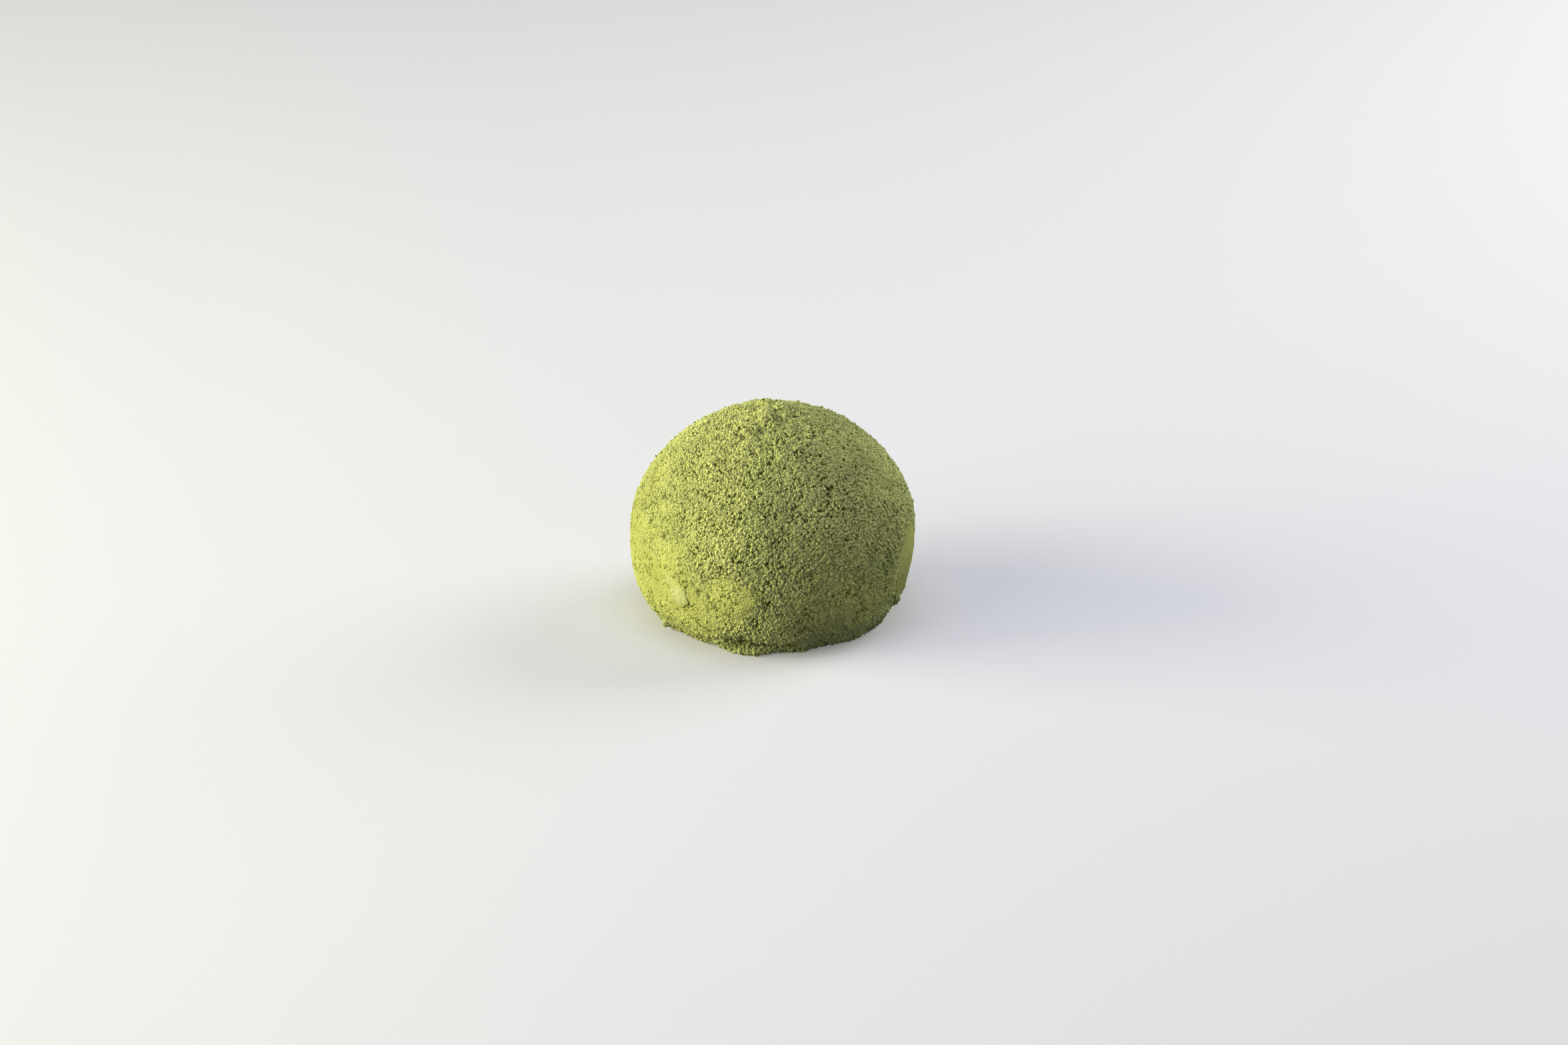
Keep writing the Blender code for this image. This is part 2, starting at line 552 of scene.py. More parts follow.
@dataclass(frozen=True)
class CoatPlan:
    """Every place where the coat isn't simply fluffy, and how much painted shade darkens its splits and
    hollows.
    """

    pressed: Spots = (
        *spots(0.6, 0.3, (-80, 16, 14.5, 14, 0.76), (-51, 11, 10.5, 8.5, 0.78)),
        *spots(0.8, 0.3, (-60, 5, 16, 4.5, 0.5)),
        *spots(0.6, 0.35, (-29, 9, 8, 7.5, 0.7)),
        *spots(0.42, 0.3, (-17, 13.6, 6, 4.4, 0.76)),
        *spots(
            0.8,
            0.35,
            *((-52, 22.5, 8, 6.5, 0.46), (-78, 30, 11, 6, 0.46), (-43, 14.5, 7.5, 8.5, 0.5)),
            *((-36, 2.4, 10, 3, 0.34), (6, 2.4, 10, 2.6, 0.36), (-4, 9, 8, 3.4, 0.22)),
            *((15, 9.5, 9, 6, 0.46), (27, 18, 13, 12, 0.36), (36, 10, 11, 8, 0.46)),
            *((52, 21, 10, 9, 0.4), (72, 16, 8, 9, 0.44), (66, 30, 10, 7, 0.34)),
            *((122, 9, 11, 6, 0.45), (168, 12, 15, 8, 0.52), (140, 26, 10, 7, 0.34)),
            *((-160, 27, 9, 6, 0.36), (-124, 15, 12, 9, 0.5)),
        ),
    )
    smooth: Spots = (
        Spot(-40.2, 11, 2.3, 3, 0.8, 0.4, 0.12),
        Spot(-44.5, 13.6, 3, 2.6, 0.6, 0.7, 0.25),
        Spot(62, 7.2, 2, 2.6, 0.85, 0.4, 0.15),
        Spot(148, 16, 2.8, 2.2, 0.9, 0.4, 0.15),
    )
    # Paler places: partly rubbed powder, partly painted light.
    rubbed_places: Spots = (
        Spot(-17, 13.6, 5.6, 4.2, 0.8, 0.45, 0.3),
        *spots(0.8, 0.35, (-29, 8, 9, 6.5, 0.55), (38, 10, 11, 8, 0.75), (22, 20, 9, 6, 0.35)),
    )
    bare_places: Spots = (
        Spot(-41.6, 10.9, 2.9, 2.8, 0.85, 0.6, 0.15),
        Spot(-45, 13.4, 3.2, 2.8, 0.5, 0.9, 0.3),
        Spot(-50.5, 21, 1.6, 1.6, 0.45, 0.9, 0.4),
        Spot(148, 16, 2.5, 2, 0.85, 0.6, 0.15),
    )
    # Painted shade darkens these broad places, and painted light brightens those of strength below 0.
    tone_places: Spots = spots(
        1,
        0.15,
        *((-86, 23, 14, 15, 0.18), (-76, 35, 6, 3, 0.1), (-55, 29, 9, 4.5, 0.09)),
        *((-58, 2.5, 10, 3.5, 0.18), (-38, 2.5, 7, 3, 0.12), (-15, 2.6, 5, 3.2, 0.3)),
        *((2, 4, 4.5, 3.5, -0.12), (-46, 16, 7, 6, -0.14), (-17, 23, 6, 6, -0.13)),
        *((1, 28, 6, 9, 0.16), (0, 12, 5, 4, 0.1), (14, 8, 7, 5, 0.19)),
        *((31, 14.5, 5, 4, -0.16), (44, 6, 7.5, 6.5, -0.2), (58, 22, 9, 7, 0.08)),
        *((38, 34, 7, 3, 0.12), (71, 8.5, 8.5, 6, 0.26), (60, 2, 6.5, 3, 0.34)),
        *((62, 38.5, 8, 3, -0.14), (91, 31, 6, 5, -0.16)),
    )
    lumps: Spots = (
        Spot(-28, 2.6, 9, 3, 0.8, 0.8),
        Spot(-8, 2.2, 9, 3, 0.7, 0.8),
        Spot(-150, 3, 9, 3, 0.8, 0.8),
    )
    knobs: tuple[Knob, ...] = (
        *(Knob(1.5, 0.5, 1.6, 1.25), Knob(-1.7, 3.6, 1.5, 0.75), Knob(2.5, -3, 0.75, 0.8)),
        *(Knob(-1.4, -3.9, 1.8, 0.8), Knob(-0.3, -6.8, 1.2, 0.45), Knob(-4.6, -6.8, 1.9, 0.7)),
        *(Knob(6.2, 0.7, 1.2, 0.5), Knob(5, 6, 0.9, 0.55), Knob(8.7, 4.4, 0.9, 0.4)),
        *(Knob(-5.7, 2.6, 1.4, 0.4), Knob(-7.6, -6.8, 1.5, 0.4), Knob(-9, -9.7, 1.3, 0.35)),
    )
    facet: Spot = Spot(88, 12.5, 15, 9, 1, 0.06, 0.055)
    dustings: Spots = (
        Spot(114, 14, 10, 12, 0.85, 1, 0.4),
        *spots(0.9, 0.4, (95, 20, 8, 4, 0.6), (88, 5, 10, 3, 0.6), (84, 13, 4, 3, 0.1)),
    )
    facet_drop: float = 0.22
    settle: float = 0.24
    flakes: Spots = (
        Spot(-40.4, 11, 2.3, 2.6, 0.11, 0.45, 0.1),
        Spot(-44, 13.6, 2.4, 1.9, 0.06, 0.8, 0.15),
        Spot(148, 16, 2.3, 1.9, 0.22, 0.2, 0.12),
    )
    rises: Spots = (
        *spots(1, 0.15, (-13, 22, 8.5, 13, 0.42), (4, 7.5, 5.5, 5.5, 0.3)),
        *spots(0.7, 0.15, (-12, 0.5, 4.6, 1.1, 1), (66.5, 5.6, 1, 1.4, 0.6)),
        *spots(0.8, 0.15, (-59, 1.7, 0.9, 0.9, 0.9)),
        *spots(0.8, 0.25, (30, 0.4, 11, 1.8, 0.75), (10, 0.2, 6, 1.2, 0.4)),
    )
    cracks: tuple[Crack, ...] = (
        Crack(0.16, 0.34, ((-38.3, 13.4), (-37.6, 12.2), (-37.9, 11.5), (-36.9, 10.8), (-36.2, 9.7))),
        Crack(0.13, 0.28, ((-36.2, 9.7), (-37.6, 9.5), (-38.6, 9), (-40.3, 8.6))),
        Crack(0.1, 0.2, ((-43.4, 10.9), (-43.7, 9.9), (-43, 8.9))),
        Crack(0.14, 0.34, ((60.4, 11), (60.2, 9.8), (61.1, 8.8), (61, 7.6), (62, 6.8))),
        Crack(0.11, 0.25, ((61.1, 8.8), (62.4, 8.1), (62.6, 7.1))),
        Crack(0.34, 0.7, ((62.2, 7.6), (62.8, 6.4), (63.2, 5.4))),
        Crack(0.12, 0.35, ((57.8, 10.4), (58.8, 9), (58.5, 8))),
        Crack(0.15, 0.35, ((146.2, 14.2), (149.5, 14), (152, 15.2))),
    )
    crack_shade: float = 1.50
    grooves: tuple[Crack, ...] = (
        Crack(0.2, 0.16, ((29, 10.4), (29.8, 8.8), (29.2, 7))),
        Crack(0.55, 0.05, ((64.9, 14.6), (66, 12.4), (67, 10.6))),
        Crack(0.6, 0.05, ((70.9, 13.6), (71.9, 12), (72.6, 10.2))),
        Crack(0.9, 0.05, ((86, 17), (87.5, 14), (86.5, 10.5))),
    )
    groove_shade: float = 0.07
    hollows: Spots = (
        *spots(0.8, 0.18, (31.5, 13.2, 0.75, 0.7, 0.4), (37.4, 11.5, 0.6, 0.6, 0.3)),
        *spots(0.8, 0.5, (-31.3, 12.7, 0.6, 1, 0.4), (-26.5, 12.4, 0.5, 0.5, 0.3)),
        *spots(0.8, 0.5, (-52.1, 21.5, 0.6, 0.9, 0.34)),
        *spots(0.8, 0.45, (-5, 2.3, 3, 0.8, 0.5), (5, 2, 1.6, 0.6, 0.35)),
        *spots(0.8, 0.4, (-15, 2.8, 4.4, 1.2, 0.46)),
        *spots(0.9, 0.3, (69, 3.4, 5, 2.2, 0.45)),
    )
    hollow_shade: float = 0.65
    darkest_hollow: float = 0.5

    def cut(self, ball: Ball) -> np.ndarray:
        """How clean the facet is at each point, from 0, outside it or dusted over, to 1."""
        return self.facet.share(ball) * spared(self.dustings, ball)

    def calm(self, ball: Ball) -> np.ndarray:
        """How smooth each point's coat is, from 0, fluffy, to 1, bare."""
        return 1.0 - spared(self.pressed + self.smooth, ball) * (1.0 - self.cut(ball))

    def lumpy(self, ball: Ball) -> np.ndarray:
        """How much larger each point's clumps are than usual: most round the crown and the foot."""
        foot = 0.4 * smooth_step(3.0, 0.4, ball.level) * (0.5 + 0.5 * ball.wobble(3.0, 4.0))
        return foot + 0.9 * smooth_step(35.0, 40.0, ball.level) + added(self.lumps, ball)

    def pale(self, ball: Ball) -> np.ndarray:
        """What shows at each point: 1 for paler powder, partly rubbed and partly painted light, -1 for
        the bare skin, 0 for neither.
        """
        bare = strongest(self.bare_places, ball)
        return strongest(self.rubbed_places, ball) * (1.0 - bare) - bare

    def deep(self, ball: Ball) -> np.ndarray:
        """How much painted shade darkens each point, less than 0 where painted light makes it paler."""
        return added(self.tone_places, ball)

    def split(self, ball: Ball) -> np.ndarray:
        """Works out the painted shade on each point for lying in a split or a hollow.

        Args:
            ball: The points.

        Returns:
            What to take off each point's relief tone.
        """
        shades = [self.crack_shade * crack.share(ball) / crack.depth for crack in self.cracks]
        shades += [self.groove_shade * groove.share(ball) / groove.depth for groove in self.grooves]
        for hollow in self.hollows:
            shades.append(self.hollow_shade * np.minimum(hollow.share(ball), self.darkest_hollow))
        return np.maximum.reduce(shades)

    def lift_mm(self, ball: Ball) -> np.ndarray:
        """Works out how far the features move each point.

        Args:
            ball: The points.

        Returns:
            The way out, in millimetres.
        """
        up = added(self.flakes + self.rises + self.knobs, ball)
        down = added(self.cracks + self.grooves + self.hollows, ball)
        return up - down - self.settle - self.facet_drop * self.cut(ball)

    def layers(self, ball: Ball) -> Layers:
        """Works out all that the trees need to know of each point.

        Args:
            ball: The points.

        Returns:
            The numbers, under the names that the trees read.
        """
        plans = {"calm": self.calm, "lift": self.lift_mm, "lumpy": self.lumpy}
        plans |= {"split": self.split, "pale": self.pale, "deep": self.deep}
        return {name: plan(ball) for name, plan in plans.items()}


@dataclass
class Net:
    """A net of faces all round the ball: a square crown, a belt in four quarters, and the foot."""

    divisions: int = 300
    belt_rows: int = 296
    belt_low: float = -46.0
    foot_step: int = 4
    foot_rows: int = 16
    directions: np.ndarray = field(init=False)
    faces: dict[str, Faces] = field(init=False)
    grids: Layers = field(init=False)

    def __post_init__(self) -> None:
        """Lays out the directions and the faces."""
        n = self.divisions
        turn = np.tan(np.radians(np.linspace(-45.0, 45.0, n + 1)))
        s, t = np.meshgrid(turn, turn, indexing="xy")
        crown = np.stack([s, t, np.ones_like(s)], axis=-1).reshape(-1, 3)
        crown /= np.linalg.norm(crown, axis=1)[:, None]
        index = np.arange((n + 1) ** 2).reshape(n + 1, n + 1)
        rim = np.concatenate([index[0, :-1], index[:-1, -1], index[-1, :0:-1], index[:0:-1, 0]])
        azimuth = np.arctan2(crown[rim, 1], crown[rim, 0])
        high = np.arcsin(crown[rim, 2])
        low = math.radians(self.belt_low)
        rise = high + (low - high) * np.arange(1, self.belt_rows + 1)[:, None] / self.belt_rows
        belt = [np.cos(rise) * np.cos(azimuth), np.cos(rise) * np.sin(azimuth), np.sin(rise)]
        count = self.belt_rows * len(rim)
        rows = np.vstack([rim, len(crown) + np.arange(count).reshape(self.belt_rows, -1)])
        self.grids = {"coat_crown": index}
        for k, name in enumerate(("coat_front", "coat_right", "coat_back", "coat_left")):
            span = np.arange(k * n, (k + 1) * n + 1) % len(rim)
            self.grids[name] = rows[::-1][:, span]
        self.faces = {name: self._square(grid) for name, grid in self.grids.items()}
        foot = self._foot(rows[-1], azimuth, len(crown) + count)
        self.directions = np.concatenate([crown, np.stack(belt, axis=-1).reshape(-1, 3), foot])

    def flat(self, name: str, used: np.ndarray) -> np.ndarray:
        """Works out where a piece's points lie on its own map.

        Args:
            name: The piece's name.
            used: The numbers of the points it uses, in rising order.

        Returns:
            Two numbers from 0 to 1 for each point.
        """
        grid = self.grids.get(name)
        if grid is None:
            way = self.directions[used]
            reach = math.tan(math.radians(90.0 + self.belt_low))
            return 0.5 + 0.5 * way[:, :2] / np.abs(way[:, 2:]) / reach
        up, across = np.mgrid[0.0 : 1.0 : 1j * grid.shape[0], 0.0 : 1.0 : 1j * grid.shape[1]]
        where = np.searchsorted(used, grid.ravel())
        place = np.empty((len(used), 2))
        place[where, 0] = across.ravel()
        place[where, 1] = up.ravel()
        return place

    @staticmethod
    def _square(index: np.ndarray) -> Faces:
        """Four-sided faces over a grid of point numbers, first row lowest."""
        corners = (index[:-1, :-1], index[:-1, 1:], index[1:, 1:], index[1:, :-1])
        return [tuple(f) for f in np.stack(corners, axis=-1).reshape(-1, 4).tolist()]

    def _foot(self, rim: np.ndarray, azimuth: np.ndarray, start: int) -> np.ndarray:
        """Lays the foot inside the belt's last row: a coarser round net with a middle point.

        Args:
            rim: The numbers of the points on the belt's last row.
            azimuth: Their azimuths, in radians.
            start: The number of the foot's first point.

        Returns:
            The foot's directions.
        """
        around = azimuth[:: self.foot_step]
        reach = 1.0 / math.tan(-math.radians(self.belt_low))
        flat = reach * (1.0 - np.arange(1, self.foot_rows + 1)[:, None] / (self.foot_rows + 1.0))
        rings = [flat * np.cos(around), flat * np.sin(around), -np.ones_like(flat * around)]
        rings = np.stack(rings, axis=-1).reshape(-1, 3)
        rings /= np.linalg.norm(rings, axis=1)[:, None]
        count = len(around)
        middle = start + self.foot_rows * count
        here = np.arange(start, middle).reshape(self.foot_rows, count)
        beside = np.roll(here, -1, axis=1)
        fine = [np.roll(rim, -k)[:: self.foot_step] for k in range(self.foot_step, -1, -1)]
        joint = np.stack([*fine, here[0], beside[0]], axis=-1)
        quads = np.stack([beside[:-1], here[:-1], here[1:], beside[1:]], axis=-1).reshape(-1, 4)
        hub = np.stack([beside[-1], here[-1], np.full(count, middle)], axis=-1)
        self.faces["coat_foot"] = [tuple(f) for part in (joint, quads, hub) for f in part.tolist()]
        return np.concatenate([rings, [[0.0, 0.0, -1.0]]])


class PowderTree:
    """A Geometry Nodes tree with named inputs, which is run on an object for what it makes."""

    def __init__(self, name: str, values: dict[str, object]) -> None:
        """Builds the tree.

        Args:
            name: The tree's name.
            values: An example of its inputs, by name.
        """
        kinds = {float: "Float", int: "Int", str: "String"}
        self.tree = bpy.data.node_groups.new(name, "GeometryNodeTree")
        self._socket("Geometry", "Geometry")
        self.sockets = {label: self._socket(label, kinds[type(value)]) for label, value in values.items()}
        self.sockets["Finish"] = self._socket("Finish", "Material")
        self._socket("Geometry", "Geometry", "OUTPUT")
        draw = Sketch(self.tree)
        given = draw.node("NodeGroupInput")
        real = draw.node("GeometryNodeRealizeInstances", {0: self.lay_out(given)})
        finish = {"Geometry": real[0], "Material": given["Finish"]}
        draw.node("NodeGroupOutput", {0: draw.node("GeometryNodeSetMaterial", finish)[0]})

    def _socket(self, label: str, kind: str, side: str = "INPUT") -> str:
        """Adds an input or output to the tree, and returns its identifier."""
        kind = "NodeSocket" + kind
        return self.tree.interface.new_socket(label, in_out=side, socket_type=kind).identifier

    def lay_out(self, given: Step) -> Wire:
        """Lays out the tree's own nodes; each kind of tree has its own."""
        raise NotImplementedError

    def run(
        self, ground: bpy.types.Object, values: dict[str, object], material: bpy.types.Material
    ) -> bpy.types.Mesh:
        """Runs the tree on an object, which it leaves as it was.

        Args:
            ground: The object.
            values: The tree's inputs, by name.
            material: The powder's material.

        Returns:
            What the tree makes.
        """
        modifier = ground.modifiers.new(self.tree.name, "NODES")
        modifier.node_group = self.tree
        for name, value in values.items():
            modifier[self.sockets[name]] = value
        modifier[self.sockets["Finish"]] = material
        graph = bpy.context.evaluated_depsgraph_get()
        mesh = bpy.data.meshes.new_from_object(ground.evaluated_get(graph))
        ground.modifiers.remove(modifier)
        return mesh


@dataclass(frozen=True)
class ReliefSizes:
    """Sizes and heights of the powder's clumps and grains in millimetres, and what they share."""

    clump_size: float = 0.90
    clump_height: float = 0.25
    level_share: float = 0.52
    lump_size: float = 0.47
    lump_height: float = 0.375
    grain_size: float = 0.32
    grain_height: float = 0.35
    bead_share: float = 0.62
    crumb_share: float = 1.05
    dust_size: float = 0.18
    dust_height: float = 0.15
    sway_size: float = 2.6
    sway_height: float = 0.62
    pit_gap: float = 1.25
    pit_radius: float = 0.20
    pit_depth: float = 0.28
    ridge_size: float = 1.7
    ridge_height: float = 0.34
    lumpy_clumps: float = 0.1
    lumpy_sway: float = 2.1
    stir_size: float = 1.5
    stir_reach: float = 0.6
    twist_size: float = 0.5
    twist_reach: float = 0.5
    patch_size: float = 3.2
    drift_size: float = 0.55
    shear: float = 0.10
    calm_share: float = 0.23
    middle_tone: float = MIDDLE_TONE
    tone_per_height: float = 1.4
    pit_shade: float = 1.2


class PowderRelief(PowderTree):
    """The tree that raises clumps and grains on the net, less where it is calm."""

    @staticmethod
    def _domes(at: Wire, size: Wire) -> Wire:
        """Draws round-topped clumps of uneven height.

        Args:
            at: The place, in millimetres.
            size: How far apart they are.

        Returns:
            0 in the gaps, up to 1 on the tallest.
        """
        draw, cell = at.draw, at.cells(size)
        flat = draw.math("MULTIPLY", cell["Distance"], 1.5, clamp=True)
        dome = draw.math("SQRT", draw.math("SUBTRACT", 1.0, flat * flat, clamp=True))
        return dome * draw.blend(cell["Color"].part(0), 0.45, 1.0)

    def lay_out(self, given: Step) -> Wire:
        """Lays out the relief.

        Args:
            given: The tree's inputs.

        Returns:
            The raised net, which keeps its tone as the attribute relief: painted shade in pits, splits
            and hollows, paler on the tops.
        """
        draw = given.draw
        at = draw.node("GeometryNodeInputPosition")[0] * PER_METRE
        calm, lift, lumpy, split = map(draw.layer, ("calm", "lift", "lumpy", "split"))
        stirred = at + at.stir(given["Stir Size"], given["Stir Reach"], 3.0, 0.6)
        twist = at.stir(given["Twist Size"], given["Twist Reach"], 3.0, 0.7)
        # Clumps and lumps, about level on the whole, and lower where the coat is calm.
        clump_height = given["Clump Height"] * (lumpy * given["Lumpy Clumps"] + 1.0)
        clump = self._domes(stirred, given["Clump Size"]) * clump_height
        lump = self._domes(stirred + twist, given["Lump Size"]) * given["Lump Height"]
        patchy = at.noise(given["Patch Size"])["Fac"].ramp(0.3, 0.7, 0.72, 1.2)
        rough = draw.blend(calm, 1.0, given["Calm Share"]) * patchy
        relief = (clump + lump - (clump_height + given["Lump Height"]) * given["Level Share"]) * rough
        # Crumbly grains and dust on top of them.
        crumb = at.noise(given["Grain Size"], 4.0, 0.75)["Fac"] * given["Crumb Share"]
        bead = self._domes(at + twist, given["Grain Size"]) * given["Bead Share"]
        dust = at.noise(given["Dust Size"], 1.0, 0.6)["Fac"] - 0.5
        fine = (bead + crumb) * given["Grain Height"] + dust * (given["Dust Height"] * 2.0)
        loose = draw.blend(calm, 1.0, 0.30) * calm.ramp(0.9, 1.0, 1.0, 0.4)
        relief = relief + (fine - given["Grain Height"] * 0.7) * loose
        tone = relief * given["Tone Per Height"] + given["Middle Tone"]
        # Pits, fewer where it is bare.
        cell = stirred.cells(given["Pit Gap"])
        radius = given["Pit Radius"] * draw.blend(cell["Color"].part(1), 0.2, 1.5)
        pit = (cell["Distance"] * given["Pit Gap"] / radius).ramp(0.3, 1.0, 1.0, 0.0)
        pit = pit * given["Pit Depth"] * calm.ramp(0.9, 0.99, 1.0, 0.0)
        # Slow sway of the whole coat, and ridges where it is lumpy.
        sway = at.noise(given["Sway Size"], 3.0, 0.55)["Fac"] - 0.5
        sway = sway * (given["Sway Height"] * calm.ramp(0.0, 0.9, 1.0, 0.25))
        sway = sway * (lumpy * given["Lumpy Sway"] + 1.0)
        wave = (stirred * (0.38, 1.0, 0.8)).noise(given["Ridge Size"])["Fac"] - 0.5
        wave = draw.math("ABSOLUTE", wave).ramp(0.0, 0.16, 1.0, 0.0) - 0.4
        ridge = wave * given["Ridge Height"] * draw.math("MINIMUM", lumpy, 1.0)
        relief = relief - pit + sway + ridge + lift
        drift = at.stir(given["Drift Size"], given["Shear"] * 2.0 * rough)
        move = draw.node("GeometryNodeInputNormal")[0] * relief + drift
        # The tone is painted shade where the coat is low, in pits, splits and hollows, and a painted
        # highlight where it is high.
        kept = given["Geometry"].keep("relief", tone - pit * given["Pit Shade"] - split)
        return draw.node("GeometryNodeSetPosition", {"Geometry": kept, "Offset": move * MM})[0]


class Room(Enum):
    """Where a kind of grain may lie: on all fluffy powder, or only where it is lumpy."""

    FLUFFY = "room"
    LUMPY = "crumb_room"


@dataclass(frozen=True)
class GrainKind:
    """One kind of loose grain. Sizes and gaps are in millimetres."""

    name: str
    size: float
    spread: float
    gap: float
    per_mm2: float
    room: Room
    seed: int
    detail: int = 1
    flatness: float = 0.75
    sunk: float = 0.12
    ragged: float = 0.45
    map_columns: float = 100.0

    def named(self) -> dict[str, object]:
        """The tree's inputs by name."""
        return {**titled(self), "Room": self.room.value}


GRAIN_KINDS = (
    GrainKind("grains_fine", 0.30, 0.30, 0.40, 0.80, Room.FLUFFY, 11),
    GrainKind("grains_middle", 0.40, 0.30, 0.50, 1.25, Room.FLUFFY, 23),
    GrainKind("grains_coarse", 0.52, 0.30, 0.62, 1.50, Room.FLUFFY, 37),
    GrainKind("crumbs", 0.85, 0.45, 0.80, 1.0, Room.LUMPY, 41, detail=2, sunk=0.35, ragged=0.8),
)


class LooseGrains(PowderTree):
    """The tree that lays one kind of grain over the powder's surface."""

    def lay_out(self, given: Step) -> Wire:
        """Lays out the grains.

        Args:
            given: The tree's inputs.

        Returns:
            The grains, with their tones and their map.
        """
        draw = given.draw
        size = given["Size"] * MM
        spread = {
            "Mesh": given["Geometry"],
            "Distance Min": given["Gap"] * MM,
            "Density Max": given["Per Mm2"] * CROWDING,
            "Density Factor": draw.layer(given["Room"]),
            "Seed": given["Seed"],
        }
        where = draw.node("GeometryNodeDistributePointsOnFaces", spread, distribute_method="POISSON")
        place = draw.node("GeometryNodeInputPosition")[0]
        points = where["Points"].keep("outward", where["Normal"], "FLOAT_VECTOR")
        points = points.keep("root_place", place, "FLOAT_VECTOR")
        points = points.keep("cell", draw.node("GeometryNodeInputIndex")[0] + 0.0)
        # One faceted ball for each point, turned and stretched at random.
        shape = draw.node("GeometryNodeMeshIcoSphere", {"Radius": 0.5, "Subdivisions": given["Detail"]})
        ball = shape["Mesh"].keep(MAP, shape["UV Map"], "FLOAT2", "CORNER")
        scales = {2: 1.0 - given["Spread"], 3: given["Spread"] + 1.0, "Seed": 1}
        scale = draw.node("FunctionNodeRandomValue", scales, data_type="FLOAT")[1] * size
        low = draw.node("ShaderNodeCombineXYZ", {axis: given["Flatness"] for axis in range(3)})[0]
        stretches = {0: low, 1: (1.15, 1.15, 1.15), "Seed": 2}
        stretch = draw.node("FunctionNodeRandomValue", stretches, data_type="FLOAT_VECTOR")[0] * scale
        turns = {0: (0.0, 0.0, 0.0), 1: FULL_TURN, "Seed": 3}
        turn = draw.node("FunctionNodeRandomValue", turns, data_type="FLOAT_VECTOR")[0]
        laying = {"Points": points, "Instance": ball, "Rotation": turn, "Scale": stretch}
        laid = draw.node("GeometryNodeInstanceOnPoints", laying)
        real = draw.node("GeometryNodeRealizeInstances", {0: laid[0]})[0]
        # A ragged outline, sunk a little into the powder.
        outward, root = (draw.layer(name, "FLOAT_VECTOR") for name in ("outward", "root_place"))
        away = place - root
        rough = place.over(size).noise(0.55, 2.0, 0.6)["Fac"] - 0.5
        offset = away * (rough * (given["Ragged"] * 4.0)) + outward * (size * (given["Sunk"] * -1.0))
        moved = draw.node("GeometryNodeSetPosition", {"Geometry": real, "Offset": offset})[0]
        # Each grain's tone: a painted highlight on its top and painted shade on its underside.
        reach = draw.node("ShaderNodeVectorMath", {0: away, 1: outward}, operation="DOT_PRODUCT")
        toned = moved.keep("relief", reach["Value"] / size + MIDDLE_TONE)
        toned = toned.keep("calm", 0.0).keep("pale", 0.0)
        # Each grain has its own square of the map.
        columns, cell = given["Map Columns"], draw.layer("cell")
        up = draw.math("FLOOR", cell / columns)
        corner = draw.node("ShaderNodeCombineXYZ", {0: draw.math("MODULO", cell, columns), 1: up})[0]
        flat = (draw.layer(MAP, "FLOAT_VECTOR") * 0.9 + corner) * (1.0 / columns)
        mapped = toned.keep(MAP, flat, "FLOAT2", "CORNER")
        return draw.node("GeometryNodeSetShadeSmooth", {"Geometry": mapped})[0]

    def piece(
        self, ground: bpy.types.Object, kind: GrainKind, material: bpy.types.Material
    ) -> bpy.types.Object:
        """Lays one kind of grain.

        Args:
            ground: The raised net, with its room attributes.
            kind: The grain's sizes.
            material: The powder's material.

        Returns:
            The grains as one object.
        """
        values = {name: value for name, value in kind.named().items() if name in self.sockets}
        mesh = self.run(ground, values, material)
        mesh.name = kind.name
        for name in ("outward", "root_place", "cell"):
            mesh.attributes.remove(mesh.attributes[name])
        LOG.info("%s: %d faces", kind.name, len(mesh.polygons))
        return put(kind.name, mesh)


